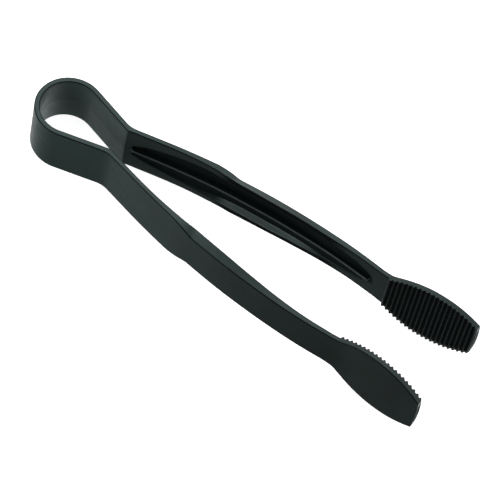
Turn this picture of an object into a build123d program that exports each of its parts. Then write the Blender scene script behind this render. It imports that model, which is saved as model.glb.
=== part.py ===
from build123d import *
import os
from math import cos, radians, sin

os.makedirs("parts", exist_ok=True)

# Spring serving tongs moulded as one polycarbonate strip: a keyhole-shaped spring bow,
# two channel-section arms and two ridged spade jaws. The tongs lie on one edge.
# Frame: +X runs from the bow to the jaw tips, +Y is the left arm's side, +Z is up.
# The origin is below the middle of the tongs, level with the lowest edge of the jaws.

# ---- driving dimensions, mm ----
LENGTH = 230.0            # bow crown to jaw tips
BAND_WIDTH = 27.6         # height of the strip in the bow and the first half of the arms
BAND_THICKNESS = 2.6      # strip thickness in the bow
BOW_RADIUS = 16.6         # outside radius of the bow
BOW_TURN = 106.0          # degrees of bow on each side of the crown, where the legs start
LEG_END = 40.0            # distance from the crown at which the legs become the necks
NECK_OUTER_RADIUS = 12.0  # rounding of the neck's hollow outer corner
NECK_INNER_RADIUS = 4.0   # rounding of its inner corner
RIB_THICKNESS = 1.1       # centre rib inside the channel
JAW_START = 184.0         # corner where the arm widens into the jaw
JAW_WIDTH = 36.0          # widest part of the jaw
JAW_WIDEST = 206.0        # distance from the crown to that widest part
TIP_WIDTH = 21.0          # width across the corners of the jaw's end
TIP_CROWN = 0.6           # how far the end of the jaw bulges past its corners
JAW_FILLET = 3.0          # rounding of the corner between the shank and the jaw's outline
JAW_INNER_START = 19.4    # offset of the grooves from the middle plane where the pad starts
JAW_INNER_TIP = 23.3      # the same at the tip
PAD_BASE = 0.8            # thickness of the ridge pad below the grooves
PAD_STEP = 0.5            # height of the grooves above the smooth shank beside them
PAD_START = 183.0         # edge of the ridge pad on the shank side
RIDGE_COUNT = 21
RIDGE_HEIGHT = 0.8
RIDGE_BASE = 1.5
RIDGE_CREST = 0.5
FIRST_RIDGE = 184.0       # distances from the crown to the outermost ridges
LAST_RIDGE = 228.8

# Each station of the arm: distance from the crown, offset of the outer face from the
# middle plane, half width of the outer face, depth to the rims, half width across the
# rims, half width of the channel at the rims, half width of the channel's floor, depth to
# the crest of the centre rib and thickness of the web behind the channel.
STATIONS = [
    (48.0, 9.9, 13.8, 2.4, 13.8, 3.6, 2.8, 3.6, 1.4),
    (54.0, 11.3, 13.9, 2.4, 13.8, 5.8, 4.8, 3.65, 1.4),
    (60.0, 12.7, 14.0, 2.4, 13.8, 7.1, 6.1, 3.6, 1.4),
    (72.0, 15.4, 14.1, 2.5, 13.8, 9.0, 8.2, 3.75, 1.4),
    (87.0, 18.3, 14.1, 3.1, 13.7, 10.2, 9.4, 3.85, 1.4),
    (94.0, 19.5, 12.8, 3.75, 13.2, 9.9, 9.1, 4.05, 1.4),
    (101.0, 20.45, 10.6, 4.3, 12.9, 9.5, 8.8, 4.15, 1.4),
    (116.0, 22.15, 10.6, 4.45, 12.4, 9.5, 8.9, 4.25, 1.4),
    (132.0, 23.25, 10.6, 3.95, 11.8, 8.8, 8.2, 4.25, 1.7),
    (150.0, 23.75, 10.6, 3.28, 10.85, 7.8, 7.2, 4.1, 2.3),
    (165.0, 23.5, 10.6, 2.72, 10.6, 6.3, 5.6, 4.2, 2.1),
    (173.0, 23.02, 10.6, 2.55, 10.6, 3.9, 3.3, 4.1, 2.0),
    (176.0, 22.8, 10.6, 2.5, 10.6, 2.4, 1.9, 2.2, 2.0),
]

# Points of the jaw's outer face in plan: distance from the crown, offset from the middle.
JAW_OUTER = [(176.0, 22.8), (184.0, 22.35), (194.0, 22.8), (230.0, 26.1)]

MID_Z = JAW_WIDTH / 2
HALF_BAND = BAND_WIDTH / 2
FIRST = STATIONS[0]
LAST = STATIONS[-1]


def frame_x(distance):
    """Distance from the crown of the bow, turned into the frame's X."""
    return distance - LENGTH / 2


def finish(piece, name):
    """Label a finished piece and write its STEP file."""
    piece.part.label = name
    export_step(piece.part, f"parts/{name}.step")


# ---- plan geometry of the bow and the legs ----
turn = radians(BOW_TURN)
bow_x = frame_x(BOW_RADIUS)
bore_radius = BOW_RADIUS - BAND_THICKNESS
leg_slope = cos(turn) / sin(turn)


def on_leg(distance, depth):
    """A point of the left leg at a distance from the crown, this deep in the strip."""
    start_x = bow_x - (BOW_RADIUS - depth) * cos(turn)
    start_y = (BOW_RADIUS - depth) * sin(turn)
    x = frame_x(distance) + depth * cos(turn)
    return x, start_y + leg_slope * (x - start_x)


# ---- spring bow ----
with BuildPart() as spring_bow:
    with BuildSketch(Plane.XY.offset(MID_Z - HALF_BAND)):
        with BuildLine():
            left_end = on_leg(LEG_END, 0)
            left_end_inner = on_leg(LEG_END, BAND_THICKNESS)
            right_end = (left_end[0], -left_end[1])
            right_end_inner = (left_end_inner[0], -left_end_inner[1])
            arc_x = bow_x - BOW_RADIUS * cos(turn)
            arc_y = BOW_RADIUS * sin(turn)
            bore_x = bow_x - bore_radius * cos(turn)
            bore_y = bore_radius * sin(turn)
            Line(left_end, (arc_x, arc_y))
            ThreePointArc((arc_x, arc_y), (frame_x(0), 0), (arc_x, -arc_y))
            Polyline((arc_x, -arc_y), right_end, right_end_inner, (bore_x, -bore_y))
            ThreePointArc((bore_x, -bore_y), (frame_x(BAND_THICKNESS), 0), (bore_x, bore_y))
            Polyline((bore_x, bore_y), left_end_inner, left_end)
        make_face()
    extrude(amount=BAND_WIDTH)
finish(spring_bow, "spring_bow")


# ---- cross-sections of the arm at one station, for the left arm ----
def side_half_width(station, depth):
    """Half width of the arm at this depth under its outer face."""
    half_outer, rim_depth, half_rim = station[2:5]
    return half_outer + (half_rim - half_outer) * depth / rim_depth


def web_corners(station):
    """The wall behind the channel, over the full width of the outer face."""
    outer = station[1]
    half_outer = station[2]
    web = station[8]
    half_inner = side_half_width(station, web)
    floor_y = outer - web
    return [(outer, -half_outer), (outer, half_outer), (floor_y, half_inner), (floor_y, -half_inner)]


def flange_corners(station):
    """The upper rim of the channel, from the web to the rim face."""
    outer, _, rim_depth, half_rim, opening, floor, _, web = station[1:]
    floor_y = outer - web
    rim_y = outer - rim_depth
    half_web = side_half_width(station, web)
    return [(floor_y, floor), (floor_y, half_web), (rim_y, half_rim), (rim_y, opening)]


def rib_corners(station):
    """The centre rib, from the web to its crest."""
    outer, crest_depth, web = station[1], station[7], station[8]
    floor_y = outer - web
    crest_y = outer - crest_depth
    half = RIB_THICKNESS / 2
    return [(floor_y, -half), (floor_y, half), (crest_y, half), (crest_y, -half)]


# ---- the two arms, mirror images of each other ----
for name, side in (("left", 1), ("right", -1)):
    # Neck: the strip turns outwards here, and the channel's end wall closes it.
    arm_slope = (STATIONS[1][1] - FIRST[1]) / (STATIONS[1][0] - FIRST[0])
    with BuildPart() as neck:
        with BuildSketch(Plane.XY.offset(MID_Z - HALF_BAND)):
            corners = []
            for depth in (0, BAND_THICKNESS):
                leg_x, leg_y = on_leg(LEG_END, depth)
                arm_y = FIRST[1] - (FIRST[3] if depth else 0)
                gap = leg_y - arm_y + arm_slope * (frame_x(FIRST[0]) - leg_x)
                corner_x = leg_x + gap / (arm_slope - leg_slope)
                corner = (corner_x, side * (leg_y + leg_slope * (corner_x - leg_x)))
                corners.append([(leg_x, side * leg_y), corner, (frame_x(FIRST[0]), side * arm_y)])
            Polygon(*corners[0], *reversed(corners[1]), align=None)
            for radius, line in zip((NECK_OUTER_RADIUS, NECK_INNER_RADIUS), corners):
                bend = Vector(line[1][0], line[1][1], 0)
                fillet(vertices().sort_by(lambda v: (Vector(v.X, v.Y, 0) - bend).length)[0], radius)
        extrude(amount=BAND_WIDTH)
    finish(neck, f"{name}_neck")

    # Web, rims and rib: ruled through the stations.
    for part_name, rule, flip in (
        ("web", web_corners, 1),
        ("upper_rim", flange_corners, 1),
        ("lower_rim", flange_corners, -1),
        ("centre_rib", rib_corners, 1),
    ):
        with BuildPart() as length_piece:
            for station in STATIONS:
                with BuildSketch(Plane.YZ.offset(frame_x(station[0]))):
                    points = [(side * y, MID_Z + flip * z) for y, z in rule(station)]
                    Polygon(*points, align=None)
            loft(ruled=True)
        finish(length_piece, f"{name}_{part_name}")

    # Jaw: a plan profile cut to the spade outline.
    plate_start_y = LAST[1] - LAST[3]
    pad_slope = (JAW_INNER_TIP - JAW_INNER_START) / (LENGTH - PAD_START)
    with BuildPart() as outline:
        with BuildSketch(Plane.XZ):
            tip_x = frame_x(LENGTH - TIP_CROWN)
            half_shank = LAST[2]
            upper = [
                (frame_x(LAST[0]), MID_Z + half_shank),
                (frame_x(JAW_START), MID_Z + half_shank),
                (frame_x(JAW_WIDEST), MID_Z + JAW_WIDTH / 2),
                (tip_x, MID_Z + TIP_WIDTH / 2),
            ]
            lower = [(x, 2 * MID_Z - z) for x, z in upper]
            with BuildLine():
                Line(upper[0], upper[1])
                ThreePointArc(upper[1], upper[2], upper[3])
                ThreePointArc(upper[3], (frame_x(LENGTH), MID_Z), lower[3])
                ThreePointArc(lower[3], lower[2], lower[1])
                Polyline(lower[1], lower[0], upper[0])
            make_face()
            fillet(vertices().group_by(Axis.X)[1], JAW_FILLET)
        extrude(amount=2 * JAW_OUTER[-1][1], both=True)

    with BuildPart() as jaw:
        with BuildSketch():
            with BuildLine():
                outer_edge = [(frame_x(d), side * y) for d, y in JAW_OUTER]
                seat = side * PAD_BASE
                tip_seat = (frame_x(LENGTH), side * JAW_INNER_TIP + seat)
                start_seat = (frame_x(PAD_START), side * JAW_INNER_START + seat)
                shank_inner = (frame_x(LAST[0]), side * plate_start_y)
                shank_end = (frame_x(PAD_START), side * (JAW_INNER_START + PAD_STEP))
                Spline(*outer_edge)
                Polyline(outer_edge[-1], tip_seat, start_seat, shank_end, shank_inner, outer_edge[0])
            make_face()
        extrude(amount=JAW_WIDTH)
        add(outline.part, mode=Mode.INTERSECT)
    finish(jaw, f"{name}_jaw")

    # Ridge pad: a thin base with evenly spaced transverse ridges, cut to the same outline.
    with BuildPart() as ridges:
        with BuildSketch():
            pitch = (LAST_RIDGE - FIRST_RIDGE) / (RIDGE_COUNT - 1)
            points = [tip_seat, start_seat, shank_end]
            for index in range(RIDGE_COUNT):
                middle = FIRST_RIDGE + index * pitch
                for shift, height in (
                    (-RIDGE_BASE / 2, 0),
                    (-RIDGE_CREST / 2, RIDGE_HEIGHT),
                    (RIDGE_CREST / 2, RIDGE_HEIGHT),
                    (RIDGE_BASE / 2, 0),
                ):
                    place = middle + shift
                    groove_y = JAW_INNER_START + pad_slope * (place - PAD_START)
                    points.append((frame_x(place), side * (groove_y - height)))
            points.append((frame_x(LENGTH), side * JAW_INNER_TIP))
            Polygon(*points, align=None)
        extrude(amount=JAW_WIDTH)
        add(outline.part, mode=Mode.INTERSECT)
    finish(ridges, f"{name}_jaw_ridges")
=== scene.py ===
import math
import bpy
import numpy as np
from mathutils import Matrix, Vector


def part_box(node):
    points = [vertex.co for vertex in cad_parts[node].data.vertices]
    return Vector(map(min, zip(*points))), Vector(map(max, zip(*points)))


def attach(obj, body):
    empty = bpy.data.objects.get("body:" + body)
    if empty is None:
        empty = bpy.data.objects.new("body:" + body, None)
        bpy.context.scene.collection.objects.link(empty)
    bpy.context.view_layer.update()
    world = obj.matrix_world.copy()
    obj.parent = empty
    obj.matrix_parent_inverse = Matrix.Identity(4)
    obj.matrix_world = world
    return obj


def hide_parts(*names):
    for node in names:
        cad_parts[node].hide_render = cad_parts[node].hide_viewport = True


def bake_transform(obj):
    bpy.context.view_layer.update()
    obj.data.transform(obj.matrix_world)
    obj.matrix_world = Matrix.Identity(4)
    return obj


# Spring serving tongs in black moulded polycarbonate, lying on one edge. Each side is one
# continuous skin, swept from the crown of the bow to the jaw tip along the outer face of
# the strip, and then divided into a half bow, an arm and a jaw. The centre rib is a
# piece of its own.
# Lengths are in mm here and in metres once they reach Blender.

MM = 0.001
SIDES = (("left", 1), ("right", -1))

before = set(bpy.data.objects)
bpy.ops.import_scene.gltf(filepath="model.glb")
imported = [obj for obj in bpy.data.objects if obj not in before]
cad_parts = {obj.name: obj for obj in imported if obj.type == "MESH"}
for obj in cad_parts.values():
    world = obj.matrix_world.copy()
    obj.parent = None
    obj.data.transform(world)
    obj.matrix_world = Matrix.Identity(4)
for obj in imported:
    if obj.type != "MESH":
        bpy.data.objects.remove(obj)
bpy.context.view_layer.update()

# ---- sizes read from the frame ----
BOW_LOW, BOW_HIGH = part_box("spring_bow")
JAW_LOW, JAW_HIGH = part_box("left_jaw")
CROWN_X = BOW_LOW.x / MM
LENGTH = JAW_HIGH.x / MM - CROWN_X
BOW_RADIUS = BOW_HIGH.y / MM
HALF_JAW = (JAW_HIGH.z - JAW_LOW.z) / MM / 2
MID_Z = (JAW_HIGH.z + JAW_LOW.z) / MM / 2

# ---- sizes of the moulding ----
BOW_TURN = 106.0          # degrees from the crown to the start of a leg
BAND_THICKNESS = 2.6
NECK_RADIUS = 12.0        # rounding of the neck's hollow outer corner
DRAFT = 0.25              # the bow is this much thicker at mid height than at its edges
PARTING_RIDGE = 0.10      # height of the line at mid height inside the bow, half that outside
PARTING_HALF = 0.4        # half width of that line
DRAFT_FADE = (46.0, 58.0)  # the draft and that line die out between these places
BAND_FADE = (43.0, 49.0)  # and the band's thickness gives way to the depth of the rims
LEAN_FADE = 12.0          # over this length of the arm the sections turn square to X
JAW_START = 184.0         # corner where the shank widens into the jaw
JAW_CORNER_BLEND = 1.5    # how widely that corner is blended into the shank
JAW_WIDEST = 206.0
HALF_TIP = 10.5           # half width across the corners of the jaw's end
TIP_CROWN = 0.6           # bulge of the jaw's end past its corners
TIP_START = 227.4         # sections take up that bulge from here on
TIP_ROUND = 0.35          # rounding of the edges of the jaw's end
SHANK_END = 179.0         # sections past here follow the jaw's outline
JAW_DRAFT = 0.1           # the jaw's inner edge is drawn in by this
JAW_DRAFT_FADE = (172.0, 182.0)  # which grows between these places
SHANK_INNER_Y = (20.3, 19.9)  # offset of the shank's inner face at ARM_END and at PAD_START
GROOVE_START_Y = 19.4     # offset of the grooves from the middle plane at PAD_START
GROOVE_TIP_Y = 23.3       # and at the tip
PAD_START = 183.0
PAD_RAMP = 0.4            # length of the step from the shank up to the grooves
FIRST_RIDGE = 184.0
LAST_RIDGE = 228.8
RIDGE_COUNT = 21
RIDGE_PITCH = (LAST_RIDGE - FIRST_RIDGE) / (RIDGE_COUNT - 1)
RIDGE_HEIGHT = 0.8
CREST_SHARE = 0.08        # the crest reaches this share of the pitch to each side
EDGE_ROUND = 0.4          # rounding of the outer edges of the strip
RIM_ROUND = 0.4           # rounding of its inner edges
FLOOR_ROUND = 0.9         # rounding along the floor of the channel
CHANNEL_START = 48.0
END_WALL = 0.45           # half the length of the channel's end wall beside the neck
WALL_GAP = 0.1            # the neck's last section is at least this far before that wall
CHANNEL_FADE = (175.2, 176.6)  # the channel's floor rises to the rims between these places
FADED_OPENING = 0.62      # past the channel its edges, by then flat, spread to this share of
FADED_FLOOR = 0.35        # the half width, and the edges of its floor to this
SHALLOW = 0.05            # a channel shallower than this is not painted
RIB_START = 46.6          # the rib rises out of the neck here
RIB_RISE = 3.0            # and reaches its full height over this length
RIB_END = 174.2
RIB_FALL = 0.9            # length over which it drops at its far end
RIB_HALF = 0.55           # half thickness of the centre rib at its foot
RIB_CREST_HALF = 0.46
RIB_SUNK = 0.3            # the rib's foot is this far inside the web
RIB_STUB = 0.4            # what is left of the rib above its foot at its far end
RIB_FINE_END = 52.0       # its sections are close together up to here
CLOSE = 0.01              # sections this close to a place count as being on it
SLOPE_STEP = 0.01         # the slope of the arm is measured this far to each side

# How many sections there are round the bow, to the end of a leg and round a neck.
BOW_STEPS, LEG_STEPS, NECK_STEPS = 72, 12, 22
# Sections of the arm, of the shank and of the step to the grooves: first, limit, spacing.
ARM_SECTIONS = (49.3, 173.9, 1.15)
SHANK_SECTIONS = (177.1, 181.6, 0.9)
STEP_SECTIONS = (182.2, 183.45, 0.1)

# Each station of the arm: distance from the crown, offset of the outer face from the
# middle plane, half width of the outer face, depth to the rims, half width across the
# rims, half width of the channel at the rims, half width of the channel's floor, depth to
# the crest of the centre rib and thickness of the web behind the channel.
STATIONS = np.array([
    (48.0, 9.9, 13.8, 2.4, 13.8, 3.6, 2.8, 3.6, 1.4),
    (54.0, 11.3, 13.9, 2.4, 13.8, 5.8, 4.8, 3.65, 1.4),
    (60.0, 12.7, 14.0, 2.4, 13.8, 7.1, 6.1, 3.6, 1.4),
    (72.0, 15.4, 14.1, 2.5, 13.8, 9.0, 8.2, 3.75, 1.4),
    (87.0, 18.3, 14.1, 3.1, 13.7, 10.2, 9.4, 3.85, 1.4),
    (94.0, 19.5, 12.8, 3.75, 13.2, 9.9, 9.1, 4.05, 1.4),
    (101.0, 20.45, 10.6, 4.3, 12.9, 9.5, 8.8, 4.15, 1.4),
    (116.0, 22.15, 10.6, 4.45, 12.4, 9.5, 8.9, 4.25, 1.4),
    (132.0, 23.25, 10.6, 3.95, 11.8, 8.8, 8.2, 4.25, 1.7),
    (150.0, 23.75, 10.6, 3.28, 10.85, 7.8, 7.2, 4.1, 2.3),
    (165.0, 23.5, 10.6, 2.72, 10.6, 6.3, 5.6, 4.2, 2.1),
    (173.0, 23.02, 10.6, 2.55, 10.6, 3.9, 3.3, 4.1, 2.0),
    (176.0, 22.8, 10.6, 2.5, 10.6, 2.4, 1.9, 2.2, 2.0),
])
ARM_START = STATIONS[0, 0]
ARM_END = STATIONS[-1, 0]
HALF_SHANK = STATIONS[-1, 2]

# Points of the jaw's outer face: distance from the crown, offset from the middle plane.
JAW_OUTER = np.array([(184.0, 22.35), (194.0, 22.8), (206.0, 23.9), (218.0, 25.0), (230.0, 26.1)])

# ---- camera: where the tongs are seen from, and how much it is turned about its own axis ----
CAMERA_AZIMUTH = 22.497
CAMERA_ELEVATION = 57.740
CAMERA_ROLL = 14.543
CAMERA_DISTANCE = 1405.4
CAMERA_TARGET = Vector((7.33, -1.93, 18.0))
CAMERA_LENS = 220.97
SENSOR_WIDTH = 36.0

# ---- floor and light ----
FLOOR_SIZE = 6.0
FLOOR_GLOW = 0.95         # how strongly the floor glows, so that it looks evenly lit
ENERGY_SCALE = 4          # a light's energy for each unit of radiance and of area

# Strengths of the sky: from one place across it to another, from one strength to another.
SKY_BELOW = (-0.45, 0.55, 0.05, 1.05)    # below, from the viewer's side to the far side
SKY_BELOW_BOW = (-0.75, -0.15, 0.2, 0)   # and added to it on the bow's side
SKY_ABOVE = (-0.75, 0.3, 0.08, 0.9)      # above, from the viewer's side to the far side
HORIZON = (-0.1, 0.15)                   # the lower sky gives way to the upper between these

# ---- plastic ----
PLASTIC_IOR = 1.585
SINK_WAVES = 0.00006      # height in metres of the slow waves that moulding leaves
SKIN_WAVES = 0.000006     # and of the finer ones over them
# Patterns in the plastic, in cells per metre: changes of shade, haze, grain and scuffs.
SLOW_CELLS, CLOUD_CELLS, GRIT_CELLS, HAIR_CELLS = 45, 260, 2600, 900
HAIR_STRETCH = (0.05, 1, 1)


# =====================================================================================
# Curves
# =====================================================================================
def cubic(knots, values, start_slope):
    """A cubic spline through the knots, as a function. It is straight at its far end."""
    step = np.diff(knots)
    slope = np.diff(values) / step
    count = len(knots)
    system = np.eye(count)
    right = np.zeros(count)
    system[0, :2] = 2 * step[0], step[0]
    right[0] = 6 * (slope[0] - start_slope)
    for i in range(1, count - 1):
        system[i, i - 1:i + 2] = step[i - 1], 2 * (step[i - 1] + step[i]), step[i]
        right[i] = 6 * (slope[i] - slope[i - 1])
    bend = np.linalg.solve(system, right)

    def at(x):
        i = np.clip(np.searchsorted(knots, x) - 1, 0, count - 2)
        a = (knots[i + 1] - x) / step[i]
        b = (x - knots[i]) / step[i]
        curve = ((a**3 - a) * bend[i] + (b**3 - b) * bend[i + 1]) * step[i] ** 2 / 6
        return a * values[i] + b * values[i + 1] + curve

    return at


def steady(knots, values):
    """A smooth curve through the knots that never overshoots them, as a function."""
    step = np.diff(knots)
    slope = np.diff(values) / step
    tangent = np.zeros(len(knots))
    for i in range(1, len(knots) - 1):
        if slope[i - 1] * slope[i] > 0:
            before = 2 * step[i] + step[i - 1]
            after = step[i] + 2 * step[i - 1]
            tangent[i] = (before + after) / (before / slope[i - 1] + after / slope[i])

    def at(x):
        x = np.clip(x, knots[0], knots[-1])
        i = np.clip(np.searchsorted(knots, x) - 1, 0, len(knots) - 2)
        t = (x - knots[i]) / step[i]
        leaving = values[i] * (1 + 2 * t) + tangent[i] * step[i] * t
        arriving = values[i + 1] * (3 - 2 * t) - tangent[i + 1] * step[i] * (1 - t)
        return leaving * (1 - t) ** 2 + arriving * t**2

    return at


def ease(x, low, high):
    """0 before low, 1 after high, and smooth between them."""
    t = np.clip((x - low) / (high - low), 0, 1)
    return t * t * (3 - 2 * t)


# =====================================================================================
# The outer line of the left side, from the crown to the tip
# =====================================================================================
ARM_SLOPE = (STATIONS[1, 1] - STATIONS[0, 1]) / (STATIONS[1, 0] - STATIONS[0, 0])
ARM_HEADING = math.atan(ARM_SLOPE)
LEG_HEADING = math.pi / 2 - math.radians(BOW_TURN)
arm_line = cubic(
    np.append(STATIONS[:, 0], JAW_OUTER[:, 0]), np.append(STATIONS[:, 1], JAW_OUTER[:, 1]), ARM_SLOPE
)


def bow_line():
    """Distances, offsets and headings of the bow, the leg and the neck."""
    angle = np.linspace(0, math.radians(BOW_TURN), BOW_STEPS)
    bow_s = BOW_RADIUS * (1 - np.cos(angle))
    bow_y = BOW_RADIUS * np.sin(angle)

    leg_slope = math.tan(LEG_HEADING)
    gap = bow_y[-1] - STATIONS[0, 1] + ARM_SLOPE * (ARM_START - bow_s[-1])
    corner_s = bow_s[-1] + gap / (ARM_SLOPE - leg_slope)
    set_back = NECK_RADIUS * math.tan((ARM_HEADING - LEG_HEADING) / 2) * math.cos(LEG_HEADING)
    leg_s = np.linspace(bow_s[-1], corner_s - set_back, LEG_STEPS)[1:]
    leg_y = bow_y[-1] + leg_slope * (leg_s - bow_s[-1])

    neck_heading = np.linspace(LEG_HEADING, ARM_HEADING, NECK_STEPS)[1:]
    neck_s = leg_s[-1] + NECK_RADIUS * (np.sin(neck_heading) - math.sin(LEG_HEADING))
    neck_y = leg_y[-1] + NECK_RADIUS * (math.cos(LEG_HEADING) - np.cos(neck_heading))
    heading = np.concatenate([math.pi / 2 - angle, np.full(len(leg_s), LEG_HEADING), neck_heading])
    return np.concatenate([bow_s, leg_s, neck_s]), np.concatenate([bow_y, leg_y, neck_y]), heading


def neck_swell(s, heading):
    """How much thicker the neck is than the band, because its inner face turns at one sharp
    corner while its outer face is a long hollow. The bow passes through the same headings
    but keeps its thickness."""
    into = np.clip(np.minimum(heading - LEG_HEADING, ARM_HEADING - heading), 0, None)
    on_neck = (s > 2 * BOW_RADIUS) & (s <= ARM_START)
    return np.where(on_neck, (NECK_RADIUS + BAND_THICKNESS) * (1 / np.cos(into) - 1), 0)


def ridge_sections():
    """Distances of the sections over the ridges, and the height of the ridges there."""
    shape = (
        (-0.5, 0), (-0.4, 0.03), (-0.31, 0.2), (-0.2, 0.72), (-0.13, 0.93), (-0.07, 1),
        (0.07, 1), (0.13, 0.93), (0.2, 0.72), (0.31, 0.2), (0.4, 0.03),
    )
    places = []
    for index in range(RIDGE_COUNT):
        for part, height in shape:
            places.append((FIRST_RIDGE + (index + part) * RIDGE_PITCH, height * RIDGE_HEIGHT))
    return np.array(places)


def ridge_crests(s):
    """Marks the sections that are on the crest of a ridge."""
    nearest = np.clip(np.round((s - FIRST_RIDGE) / RIDGE_PITCH), 0, RIDGE_COUNT - 1)
    return abs(s - FIRST_RIDGE - nearest * RIDGE_PITCH) < CREST_SHARE * RIDGE_PITCH


def sections():
    """The outer line and the measures of the strip at every section of a side."""
    s, y, heading = bow_line()
    wall = np.linspace(CHANNEL_START - END_WALL, CHANNEL_START + END_WALL, 7)
    before_wall = s < wall[0] - WALL_GAP
    s, y, heading = s[before_wall], y[before_wall], heading[before_wall]

    ridges = ridge_sections()
    fade = np.linspace(CHANNEL_FADE[0], CHANNEL_FADE[1], 9)
    tip_round = LENGTH - TIP_ROUND * (1 - np.sin(np.radians([0, 22, 45, 67, 90])))
    arm_s = np.concatenate([
        wall, np.arange(*ARM_SECTIONS), fade, [ARM_END], np.arange(*SHANK_SECTIONS),
        np.arange(*STEP_SECTIONS), ridges[:, 0], tip_round,
    ])
    arm_s = np.unique(np.round(arm_s, 4))
    arm_y = arm_line(arm_s)
    slope = (arm_line(arm_s + SLOPE_STEP) - arm_line(arm_s - SLOPE_STEP)) / (2 * SLOPE_STEP)
    s = np.concatenate([s, arm_s])
    y = np.concatenate([y, arm_y])
    heading = np.concatenate([heading, np.arctan(slope)])

    on_arm = np.clip(s, ARM_START, ARM_END)
    measure = [steady(STATIONS[:, 0], STATIONS[:, column])(on_arm) for column in (2, 3, 4, 5, 6, 8)]
    half_outer, rim_depth, half_rim, opening, floor, web = measure
    bow_share = 1 - ease(s, *BAND_FADE)
    rim_depth = rim_depth + (BAND_THICKNESS - rim_depth) * bow_share
    rim_depth = rim_depth + neck_swell(s, heading)

    # the jaw: outline from two arcs, thickness from the groove line
    past_start = (s - TIP_START) * (1 - TIP_CROWN / (LENGTH - TIP_START))
    ring_end = np.where(s > TIP_START, TIP_START + past_start, s)
    reach = ring_end - JAW_WIDEST
    rise = np.where(reach < 0, HALF_JAW - HALF_SHANK, HALF_JAW - HALF_TIP)
    run = np.where(reach < 0, JAW_WIDEST - JAW_START, LENGTH - TIP_CROWN - JAW_WIDEST)
    radius = (run**2 + rise**2) / (2 * rise)
    arc = HALF_JAW - radius + np.sqrt(np.maximum(radius**2 - reach**2, 0))
    half_jaw = (arc + HALF_SHANK + np.sqrt((arc - HALF_SHANK) ** 2 + JAW_CORNER_BLEND**2)) / 2
    half_jaw = np.where(reach < 0, half_jaw, arc)
    in_jaw = s > ARM_END
    half_outer = np.where(in_jaw, np.where(s > SHANK_END, half_jaw, HALF_SHANK), half_outer)
    half_rim = np.where(in_jaw, half_outer - JAW_DRAFT * ease(s, *JAW_DRAFT_FADE), half_rim)
    shank = np.interp(s, [ARM_END, PAD_START], SHANK_INNER_Y)
    groove = np.interp(s, [PAD_START, LENGTH], [GROOVE_START_Y, GROOVE_TIP_Y])
    inner_y = shank + (groove - shank) * ease(s, PAD_START, PAD_START + PAD_RAMP)
    rim_depth = np.where(in_jaw, y - inner_y, rim_depth)
    ridge = np.interp(s, ridges[:, 0], ridges[:, 1], left=0, right=0)

    past_channel = ease(s, CHANNEL_FADE[1], JAW_START)
    opening = opening + (FADED_OPENING * half_outer - opening) * past_channel
    floor = floor + (FADED_FLOOR * half_outer - floor) * past_channel
    hollow = ease(s, CHANNEL_START - END_WALL, CHANNEL_START + END_WALL) * (1 - ease(s, *CHANNEL_FADE))
    channel = np.maximum(rim_depth - web, 0) * hollow
    lean = heading * (1 - ease(s, ARM_START, ARM_START + LEAN_FADE))
    return {
        "s": s, "y": y, "lean": lean, "half_outer": half_outer, "half_rim": half_rim,
        "depth": rim_depth, "opening": opening, "floor": floor, "channel": channel,
        "ridge": ridge, "bow": 1 - ease(s, *DRAFT_FADE),
    }


# =====================================================================================
# The skin
# =====================================================================================
def bend_points(start, corner, end, steps):
    """Points of a rounded corner, from start to end, drawn towards the corner."""
    points = []
    for t in np.linspace(0, 1, steps):
        points.append(tuple(
            (1 - t) ** 2 * a + 2 * t * (1 - t) * b + t**2 * c for a, b, c in zip(start, corner, end)
        ))
    return points


def half_ring(m):
    """Points of the upper half of every section, as (depth, height) pairs of arrays, from
    the middle of the outer face round the edge to the middle of the inner face."""
    full = m["depth"] + m["ridge"]
    ones = np.ones_like(full)
    outer = m["half_outer"]

    def side(depth):
        return outer + (m["half_rim"] - outer) * depth / m["depth"]

    points = [(-PARTING_RIDGE * 0.5 * m["bow"], 0 * ones)]
    points += [(-PARTING_RIDGE * 0.3 * m["bow"], 0.4 * PARTING_HALF * ones)]
    points += [(0 * ones, z * ones) for z in (PARTING_HALF, 1.0)]
    points += [(0 * ones, (outer - EDGE_ROUND) * part) for part in (0.22, 0.42, 0.62, 0.8, 0.93)]
    edge = EDGE_ROUND * ones
    points += bend_points((0 * ones, outer - edge), (0 * ones, outer), (edge, side(edge)), 6)
    rim = RIM_ROUND * ones
    for part in (0.35, 0.7):
        depth = edge + (full - rim - edge) * part
        points.append((depth, side(np.minimum(depth, m["depth"]))))
    top = side(m["depth"])
    points += bend_points((full - rim, top), (full, top), (full, top - rim), 5)

    # inner face: rim, wall of the channel and its floor
    opening = m["opening"]
    floor = m["floor"]
    bottom = full - m["channel"]
    wall = np.hypot(m["channel"], opening - floor)
    brow = np.minimum(RIM_ROUND, 0.3 * wall) / wall
    foot = np.minimum(FLOOR_ROUND, 0.4 * wall) / wall
    foot_z = np.minimum(FLOOR_ROUND, 0.4 * floor)
    points.append((full, (top - rim + opening) / 2))
    points += bend_points(
        (full, opening + brow * wall), (full, opening),
        (full - m["channel"] * brow, opening + (floor - opening) * brow), 4,
    )
    points.append((full - m["channel"] * 0.5, (opening + floor) / 2))
    points += bend_points(
        (bottom + m["channel"] * foot, floor + (opening - floor) * foot), (bottom, floor),
        (bottom, floor - foot_z), 4,
    )
    last = floor - foot_z
    points += [(bottom, last * part) for part in (0.7, 0.4)]
    line = PARTING_RIDGE * m["bow"]
    small = np.minimum(PARTING_HALF, 0.3 * last)
    points += [(bottom, small), (bottom + line * 0.5, 0.45 * small), (bottom + line, 0 * ones)]

    # draft: the inner face of the bow falls away from mid height to its edges
    drafted = []
    for depth, height in points:
        inner = np.clip(depth / full, 0, 1) ** 2
        drafted.append((depth + DRAFT * m["bow"] * inner * (1 - abs(height) / outer), height))
    return drafted


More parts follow.
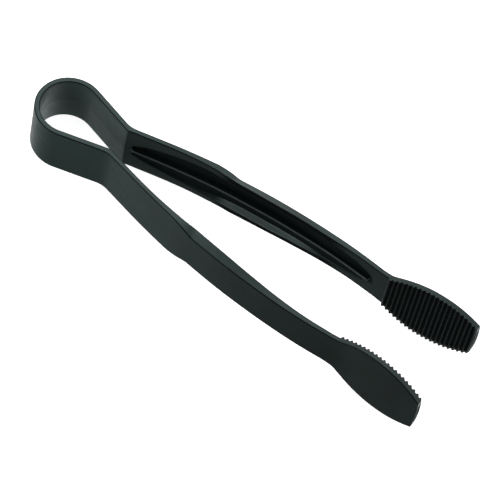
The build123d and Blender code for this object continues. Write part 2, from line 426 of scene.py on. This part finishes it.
def skin_points(m):
    """The points of every section in frame millimetres for the left side: rings x points x 3."""
    half = half_ring(m)
    mirrored = [(depth, -height) for depth, height in half[-2:0:-1]]
    depth = np.stack([d for d, z in half + mirrored], 1)
    height = np.stack([z for d, z in half + mirrored], 1)
    place = m["s"][:, None] + depth * np.sin(m["lean"])[:, None]
    offset = m["y"][:, None] - depth * np.cos(m["lean"])[:, None]

    # the end of the jaw: bulged in the middle, with rounded edges
    tip_radius = (HALF_TIP**2 + TIP_CROWN**2) / (2 * TIP_CROWN)
    crown = LENGTH - height**2 / (2 * tip_radius)
    past = np.maximum(place - TIP_START, 0) / (LENGTH - TIP_START)
    place = np.where(past > 0, TIP_START + past * (crown - TIP_START), place)
    near_end = np.maximum(m["s"] - (LENGTH - TIP_ROUND), 0) / TIP_ROUND
    shrink = TIP_ROUND * (1 - np.sqrt(1 - np.minimum(near_end, 1) ** 2))
    full = (m["depth"] + m["ridge"])[:, None]
    middle = full / 2
    offset = offset + np.clip((depth - middle) / middle, -1, 1) * shrink[:, None] * 0.8
    outer = m["half_outer"][:, None]
    height = height * (1 - shrink[:, None] / outer)
    return np.stack([place + CROWN_X, offset, height + MID_Z], -1)


def skin_normals(points):
    """Area-weighted normals of the swept skin, pointing out of the strip."""
    following = np.roll(points, -1, 1)
    normals = np.zeros_like(points)
    diagonal_a = following[1:] - points[:-1]
    diagonal_b = points[1:] - following[:-1]
    area = np.cross(diagonal_a, diagonal_b)
    normals[:-1] += area
    normals[1:] += area
    normals[:-1] += np.roll(area, 1, 1)
    normals[1:] += np.roll(area, 1, 1)
    return normals / np.linalg.norm(normals, axis=-1, keepdims=True)


def swept_piece(name, points, normals, side):
    """A closed piece from a run of sections. Its sides have the normals of the whole skin,
    so that pieces meet smoothly, and its two ends are flat."""
    rings, count = points.shape[:2]
    mirror = np.array([1, side, 1])
    vertices = (points * mirror * MM).reshape(-1, 3)
    faces = []
    for ring in range(rings - 1):
        for k in range(count):
            after = (k + 1) % count
            faces.append((ring * count + k, ring * count + after,
                          (ring + 1) * count + after, (ring + 1) * count + k))
    walls = len(faces)
    for base, flip in ((0, 1), ((rings - 1) * count, -1)):
        for k in range(count // 2):
            cap = (base + k, base + (count - k) % count, base + count - k - 1, base + k + 1)
            faces.append(tuple(dict.fromkeys(cap))[::flip])
    if side < 0:
        faces = [face[::-1] for face in faces]
    mesh = bpy.data.meshes.new(name)
    mesh.from_pydata([tuple(v) for v in vertices], [], faces)
    mesh.shade_smooth()
    mesh.update()
    smooth = (normals * mirror).reshape(-1, 3)
    custom = []
    for polygon in mesh.polygons:
        for vertex in polygon.vertices:
            flat = polygon.index >= walls
            custom.append(tuple(polygon.normal) if flat else tuple(smooth[vertex]))
    mesh.normals_split_custom_set(custom)
    piece = bpy.data.objects.new(name, mesh)
    bpy.context.scene.collection.objects.link(piece)
    return piece


def rib_piece(name, side):
    """The thin centre rib, rounded along its crest and sunk into the web."""
    s = np.concatenate([
        np.arange(RIB_START, RIB_FINE_END, 0.3), np.arange(RIB_FINE_END, RIB_END - 3, 1.5),
        np.linspace(RIB_END - 2.8, RIB_END - RIB_FALL, 4),
        np.linspace(RIB_END - 0.8 * RIB_FALL, RIB_END, 8),
    ])
    foot = steady(STATIONS[:, 0], STATIONS[:, 8])(s) - RIB_SUNK
    crest = steady(STATIONS[:-1, 0], STATIONS[:-1, 7])(s)
    buried = BAND_THICKNESS - RIB_SUNK
    crest = buried + (crest - buried) * ease(s, RIB_START, RIB_START + RIB_RISE)
    standing = 1 - ease(s, RIB_END - RIB_FALL, RIB_END)
    crest = foot + RIB_STUB + (crest - foot - RIB_STUB) * standing
    line_s, line_y, line_heading = bow_line()
    y = np.where(s < ARM_START, np.interp(s, line_s, line_y), arm_line(s))
    lean = np.where(s < ARM_START, np.interp(s, line_s, line_heading), 0)
    half = [
        (foot, 0.0), (foot, RIB_HALF),
        (foot + (crest - foot) * 0.5, (RIB_HALF + RIB_CREST_HALF) / 2),
    ]
    for angle in np.radians([0, 25, 50, 72, 90]):
        half.append((crest - RIB_CREST_HALF * (1 - math.sin(angle)), RIB_CREST_HALF * math.cos(angle)))
    ring = half + [(depth, -height) for depth, height in half[-2:0:-1]]
    points = np.zeros((len(s), len(ring), 3))
    for k, (depth, height) in enumerate(ring):
        points[:, k, 0] = s + CROWN_X + depth * np.sin(lean)
        points[:, k, 1] = y - depth
        points[:, k, 2] = height + MID_Z
    return swept_piece(name, points, skin_normals(points), side)


# =====================================================================================
# Materials
# =====================================================================================
def new_material(name):
    """A new node material, with its nodes, its links and its shader."""
    material = bpy.data.materials.new(name)
    material.use_nodes = True
    nodes = material.node_tree.nodes
    return material, nodes, material.node_tree.links, nodes["Principled BSDF"]


def noise(nodes, links, vector, scale, detail, stretch=(1, 1, 1)):
    """A noise pattern in object space, stretched along the axes."""
    mapping = nodes.new("ShaderNodeMapping")
    mapping.inputs["Scale"].default_value = stretch
    links.new(vector, mapping.inputs["Vector"])
    pattern = nodes.new("ShaderNodeTexNoise")
    pattern.inputs["Scale"].default_value = scale
    pattern.inputs["Detail"].default_value = detail
    links.new(mapping.outputs["Vector"], pattern.inputs["Vector"])
    return pattern.outputs["Fac"]


def spread(nodes, links, value, low, high, to_low, to_high):
    """A value mapped from one range to another, smoothly."""
    node = nodes.new("ShaderNodeMapRange")
    node.interpolation_type = "SMOOTHSTEP"
    node.inputs["From Min"].default_value = low
    node.inputs["From Max"].default_value = high
    node.inputs["To Min"].default_value = to_low
    node.inputs["To Max"].default_value = to_high
    links.new(value, node.inputs["Value"])
    return node.outputs["Result"]


def add_values(nodes, links, first, second):
    """The sum of two values."""
    node = nodes.new("ShaderNodeMath")
    node.operation = "ADD"
    links.new(first, node.inputs[0])
    links.new(second, node.inputs[1])
    return node.outputs[0]


def mix(nodes, links, factor, first, second):
    """Two colours mixed. Each is three numbers or the output of a node."""
    node = nodes.new("ShaderNodeMix")
    node.data_type = "RGBA"
    links.new(factor, node.inputs["Factor"])
    for socket, colour in (("A", first), ("B", second)):
        if isinstance(colour, tuple):
            node.inputs[socket].default_value = (*colour, 1)
        else:
            links.new(colour, node.inputs[socket])
    return node.outputs["Result"]


def bump(nodes, links, height, distance, below=None):
    """A bump of this height in metres, over another bump if there is one."""
    node = nodes.new("ShaderNodeBump")
    node.inputs["Strength"].default_value = 1.0
    node.inputs["Distance"].default_value = distance
    links.new(height, node.inputs["Height"])
    if below is not None:
        links.new(below, node.inputs["Normal"])
    return node.outputs["Normal"]


def polycarbonate(name, shades, roughness, grain, scuffing, gloss=0.5, span=None):
    """Black polycarbonate: a cool green-black, paler at the bow than at the jaws as a painted fall
    of light along the tongs, with slow changes in shade, the fine grain of the mould, slight sink
    waves and a few hair-fine scuffs along the strip. A span of another shade, a painted reflection,
    has four places along X, in metres: where it starts, is full, begins to fade and ends."""
    bow_shade, jaw_shade = shades
    material, nodes, links, shader = new_material(name)
    place = nodes.new("ShaderNodeTexCoord").outputs["Object"]
    slow = noise(nodes, links, place, SLOW_CELLS, 3)
    cloud = noise(nodes, links, place, CLOUD_CELLS, 4)
    grit = noise(nodes, links, place, GRIT_CELLS, 2)
    hair = noise(nodes, links, place, HAIR_CELLS, 2, HAIR_STRETCH)

    along = nodes.new("ShaderNodeSeparateXYZ")
    links.new(place, along.inputs[0])
    toward_jaw = spread(nodes, links, along.outputs["X"], *SHADE_SPAN, 0, 0.8)
    patches = spread(nodes, links, slow, 0.3, 0.7, 0, 0.2)
    colour = mix(nodes, links, add_values(nodes, links, toward_jaw, patches), bow_shade, jaw_shade)
    if span is not None:
        span_shade, (start, full, fading, end) = span
        into = spread(nodes, links, along.outputs["X"], start, full, 0, 1)
        out_of = spread(nodes, links, along.outputs["X"], fading, end, 0, -1)
        colour = mix(nodes, links, add_values(nodes, links, into, out_of), colour, span_shade)
    links.new(colour, shader.inputs["Base Color"])
    shader.inputs["Specular IOR Level"].default_value = gloss
    shader.inputs["Specular Tint"].default_value = (*SHEEN, 1)

    haze = spread(nodes, links, cloud, 0.3, 0.75, roughness - 0.04, roughness + 0.05)
    scuff = spread(nodes, links, hair, 0.66, 0.74, 0, scuffing)
    links.new(add_values(nodes, links, haze, scuff), shader.inputs["Roughness"])
    shader.inputs["IOR"].default_value = PLASTIC_IOR

    waves = bump(nodes, links, slow, SINK_WAVES)
    finer_waves = bump(nodes, links, cloud, SKIN_WAVES, waves)
    links.new(bump(nodes, links, grit, grain, finer_waves), shader.inputs["Normal"])
    return material


def table_top():
    """The pale board under the tongs."""
    material, nodes, links, shader = new_material("floor")
    place = nodes.new("ShaderNodeTexCoord").outputs["Object"]
    fine = noise(nodes, links, place, 400, 3)
    colour = mix(nodes, links, fine, (0.90, 0.90, 0.90), (0.92, 0.92, 0.92))
    links.new(colour, shader.inputs["Base Color"])
    links.new(colour, shader.inputs["Emission Color"])
    shader.inputs["Emission Strength"].default_value = FLOOR_GLOW
    shader.inputs["Roughness"].default_value = 0.9
    shader.inputs["Specular IOR Level"].default_value = 0.1
    return material


SHADE_SPAN = (-0.085, 0.07)   # the painted fall of light from the bow to the jaws spreads between these places
SHEEN = (0.76, 1.0, 0.98)     # tint of the reflections
SATIN = ((0.0122, 0.0228, 0.0214), (0.0036, 0.0062, 0.0060))
# The inside of the bow is painted paler than the band: painted light bouncing inside the bow.
BORE_BOUNCE_LIGHT = ((0.0330, 0.0540, 0.0510), (0.0240, 0.0360, 0.0340))
DULL = ((0.0130, 0.0200, 0.0192), (0.0090, 0.0150, 0.0146))
# The rims are painted paler than the band, a painted sheen in place of their reflections; along part
# of the arm they are painted dark as a painted reflection.
RIM_SHEEN = ((0.0230, 0.0340, 0.0325), (0.0155, 0.0235, 0.0225))
# The channel and the rib's sides are painted darker than the band: painted shade in the recess.
CHANNEL_SHADE = ((0.0054, 0.0078, 0.0079), (0.0042, 0.0060, 0.0061))
# The darkest shades: a painted dark reflection on the edges and rims, and painted shade in the jaw's
# grooves.
PAINTED_DARK = ((0.0012, 0.0022, 0.0024), (0.0010, 0.0019, 0.0021))
# The palest shade: a painted highlight along the rib's crest and on the jaws' ends.
PAINTED_HIGHLIGHT = ((0.0480, 0.0560, 0.0550), (0.0400, 0.0480, 0.0470))
# Spans of another shade: the shade, and the places where it starts, is full, fades and ends.
# They imitate reflections seen there from the camera's side. The plastic itself is one kind,
# so from other sides, or in other light, they are only plausible.
DARK_RIM = (PAINTED_DARK[0], (-0.027, -0.017, 0.034, 0.046))
PALE_WALL = ((0.1000, 0.1320, 0.1270), (-0.025, -0.017, 0.018, 0.034))
band_plastic = polycarbonate("band_plastic", SATIN, 0.42, 0.0000012, 0.05)
bore_bounce_light_plastic = polycarbonate("bore_bounce_light_plastic", BORE_BOUNCE_LIGHT, 0.44, 0.0000012, 0.05)
rim_reflection_plastic = polycarbonate("rim_reflection_plastic", RIM_SHEEN, 0.38, 0.0000010, 0.05, 0.12, DARK_RIM)
wall_shade_and_reflection_plastic = polycarbonate("wall_shade_and_reflection_plastic", CHANNEL_SHADE, 0.42, 0.0000010, 0.05, 0.2, PALE_WALL)
channel_plastic = polycarbonate("channel_plastic", CHANNEL_SHADE, 0.34, 0.0000002, 0.03, 0.12)
crest_highlight_plastic = polycarbonate("crest_highlight_plastic", PAINTED_HIGHLIGHT, 0.34, 0.0000004, 0.04)
jaw_plastic = polycarbonate("jaw_plastic", SATIN, 0.42, 0.0000012, 0.05, 0.45)
groove_shade_plastic = polycarbonate("groove_shade_plastic", PAINTED_DARK, 0.24, 0.0000002, 0.05, 0.14)
ridge_plastic = polycarbonate("ridge_plastic", DULL, 0.35, 0.0000004, 0.05, 0.35)
end_highlight_plastic = polycarbonate("end_highlight_plastic", PAINTED_HIGHLIGHT, 0.22, 0.0000003, 0.04, 0.8)
dark_edge_reflection_plastic = polycarbonate("dark_edge_reflection_plastic", PAINTED_DARK, 0.30, 0.0000002, 0.03, 0.08)


# =====================================================================================
# The pieces
# =====================================================================================
measures = sections()
skin = skin_points(measures)
skin_direction = skin_normals(skin)
ring_at_neck = int(np.argmin(abs(measures["s"] - ARM_START)))
ring_at_shank = int(np.argmin(abs(measures["s"] - ARM_END)))
on_crest = ridge_crests(measures["s"][ring_at_shank:])
# The crease inside the neck is at the first section that has made half of the neck's turn.
neck_headings = np.where(measures["s"] > 2 * BOW_RADIUS, measures["lean"], -1)
crease_ring = int(np.argmax(neck_headings > (LEG_HEADING + ARM_HEADING) / 2))
# Where the parts of the half section begin and end, by the number of the point.
RING_POINTS = skin.shape[1]
OUTER_EDGE = (9, 14)
INNER_EDGE = (17, 21)
INNER_FACE = (21, RING_POINTS // 2)
WALL_FACE = (24, 30)
FLOOR_FACE = (30, RING_POINTS // 2)
GRIP_FACE = (20, RING_POINTS // 2)
RIB_RING_POINTS = 14
RIB_SIDES = (1, 3)


def paint(piece, points_per_ring, points, material, rings=None):
    """Gives the faces between two points of the half section a material of their own, on
    every ring or on those that are marked."""
    piece.data.materials.append(material)
    slot = len(piece.data.materials) - 1
    first, last = points
    for polygon in piece.data.polygons:
        columns = [vertex % points_per_ring for vertex in polygon.vertices]
        columns = [min(column, points_per_ring - column) for column in columns]
        marked = rings is None or all(rings[vertex // points_per_ring] for vertex in polygon.vertices)
        if min(columns) >= first and max(columns) <= last and marked:
            polygon.material_index = slot


def paint_edges(piece):
    """The rounded edges of the strip are painted darker: a painted dark reflection along them."""
    paint(piece, RING_POINTS, OUTER_EDGE, dark_edge_reflection_plastic)
    paint(piece, RING_POINTS, INNER_EDGE, dark_edge_reflection_plastic)


for side_name, side in SIDES:
    body = f"{side_name}_arm"

    bow = swept_piece(
        f"{side_name}_bow_half", skin[:ring_at_neck + 1], skin_direction[:ring_at_neck + 1], side,
    )
    bow.data.materials.append(band_plastic)
    paint_edges(bow)
    # painted bounce light on the inner face of the bow
    paint(bow, RING_POINTS, INNER_FACE, bore_bounce_light_plastic)
    past_crease = np.arange(ring_at_neck + 1) >= crease_ring
    # past the crease the inner face takes the rims' painted sheen
    paint(bow, RING_POINTS, INNER_FACE, rim_reflection_plastic, past_crease)
    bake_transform(bow)
    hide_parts("spring_bow", f"{side_name}_neck")

    arm = swept_piece(
        f"{side_name}_arm_channel", skin[ring_at_neck:ring_at_shank + 1],
        skin_direction[ring_at_neck:ring_at_shank + 1], side,
    )
    arm.data.materials.append(band_plastic)
    paint_edges(arm)
    in_channel = measures["channel"][ring_at_neck:] > SHALLOW
    # the inner faces carry painted sheen and, along part of the arm, a painted dark reflection
    paint(arm, RING_POINTS, INNER_FACE, rim_reflection_plastic)
    # the channel's walls: painted shade, with a pale span of painted reflection
    paint(arm, RING_POINTS, WALL_FACE, wall_shade_and_reflection_plastic, in_channel)
    # painted shade on the channel's floor
    paint(arm, RING_POINTS, FLOOR_FACE, channel_plastic, in_channel)
    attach(arm, body)
    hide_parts(f"{side_name}_web", f"{side_name}_upper_rim", f"{side_name}_lower_rim")

    rib = rib_piece(f"{side_name}_rib", side)
    # the rib is painted pale, a painted highlight along its crest
    rib.data.materials.append(crest_highlight_plastic)
    # painted shade on the rib's sides, down in the channel
    paint(rib, RIB_RING_POINTS, RIB_SIDES, channel_plastic)
    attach(rib, body)
    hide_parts(f"{side_name}_centre_rib")

    jaw = swept_piece(
        f"{side_name}_ridged_jaw", skin[ring_at_shank:], skin_direction[ring_at_shank:], side,
    )
    jaw.data.materials.append(jaw_plastic)
    paint_edges(jaw)
    # the shank's inner face takes the rims' painted sheen
    paint(jaw, RING_POINTS, INNER_FACE, rim_reflection_plastic)
    on_pad = measures["s"][ring_at_shank:] > PAD_START - CLOSE
    # painted shade in the grooves between the ridges
    paint(jaw, RING_POINTS, GRIP_FACE, groove_shade_plastic, on_pad)
    paint(jaw, RING_POINTS, GRIP_FACE, ridge_plastic, on_crest)
    on_end = measures["s"][ring_at_shank:] > LENGTH - TIP_ROUND - CLOSE
    # the jaw's end is painted pale, a painted highlight over its real glossy reflection
    paint(jaw, RING_POINTS, (0, RING_POINTS // 2), end_highlight_plastic, on_end)
    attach(jaw, body)
    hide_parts(f"{side_name}_jaw", f"{side_name}_jaw_ridges")


# =====================================================================================
# The floor, tilted a little so that it touches the bow's edge and the jaws' edges
# =====================================================================================
jaw_touch_x = (JAW_WIDEST + CROWN_X) * MM
floor_tilt = math.atan2(BOW_LOW.z, jaw_touch_x - BOW_LOW.x)
bpy.ops.mesh.primitive_plane_add(size=FLOOR_SIZE)
floor = bpy.context.object
floor.name = "floor"
floor.matrix_world = Matrix.Translation((jaw_touch_x, 0, 0)) @ Matrix.Rotation(floor_tilt, 4, "Y")
floor.data.materials.append(table_top())
floor.visible_glossy = False


# =====================================================================================
# Light
# =====================================================================================
def soft_sky():
    """A plain studio surround, dark on the viewer's side and pale on the far side."""
    world = bpy.data.worlds.new("studio")
    bpy.context.scene.world = world
    world.use_nodes = True
    nodes = world.node_tree.nodes
    links = world.node_tree.links
    direction = nodes.new("ShaderNodeTexCoord").outputs["Generated"]
    parts = nodes.new("ShaderNodeSeparateXYZ")
    links.new(direction, parts.inputs[0])
    below_back = spread(nodes, links, parts.outputs["Y"], *SKY_BELOW)
    below_bow = spread(nodes, links, parts.outputs["X"], *SKY_BELOW_BOW)
    below = add_values(nodes, links, below_back, below_bow)
    above = spread(nodes, links, parts.outputs["Y"], *SKY_ABOVE)
    upward = spread(nodes, links, parts.outputs["Z"], *HORIZON, 0, 1)
    shade = nodes.new("ShaderNodeMix")
    shade.data_type = "FLOAT"
    links.new(upward, shade.inputs["Factor"])
    links.new(below, shade.inputs["A"])
    links.new(above, shade.inputs["B"])
    links.new(shade.outputs["Result"], nodes["Background"].inputs["Strength"])
    nodes["Background"].inputs["Color"].default_value = (1, 1, 1, 1)


def softbox(name, direction, distance, size, radiance):
    """A square soft light of this radiance that faces the tongs from this direction."""
    data = bpy.data.lights.new(name, "AREA")
    data.shape = "SQUARE"
    data.size = size
    data.energy = radiance * ENERGY_SCALE * size**2
    light = bpy.data.objects.new(name, data)
    bpy.context.scene.collection.objects.link(light)
    direction = Vector(direction).normalized()
    light.location = direction * distance + Vector((0, 0, MID_Z * MM))
    light.rotation_euler = direction.to_track_quat("Z", "Y").to_euler()


soft_sky()
softbox("overhead_softbox", (-0.20, 0.49, 0.85), 1.3, 0.8, 0.5)
softbox("side_softbox", (-0.55, -0.65, 0.45), 0.62, 0.40, 3.4)


# =====================================================================================
# Camera
# =====================================================================================
def add_camera():
    """The camera that sees the tongs as the photo does, turned a little about its own axis."""
    azimuth = math.radians(CAMERA_AZIMUTH)
    elevation = math.radians(CAMERA_ELEVATION)
    back = Vector((
        math.sin(azimuth) * math.cos(elevation),
        -math.cos(azimuth) * math.cos(elevation),
        math.sin(elevation),
    ))
    level = Vector((math.cos(azimuth), math.sin(azimuth), 0))
    turned = Matrix.Rotation(math.radians(CAMERA_ROLL), 3, back) @ level
    up = back.cross(turned)
    data = bpy.data.cameras.new("camera")
    data.lens = CAMERA_LENS
    data.sensor_width = SENSOR_WIDTH
    data.clip_end = 20
    camera = bpy.data.objects.new("camera", data)
    place = (CAMERA_TARGET + back * CAMERA_DISTANCE) * MM
    axes = Matrix((turned, up, back)).transposed().to_4x4()
    camera.matrix_world = Matrix.Translation(place) @ axes
    bpy.context.scene.collection.objects.link(camera)
    bpy.context.scene.camera = camera


add_camera()
bpy.context.scene.view_settings.view_transform = "Standard"
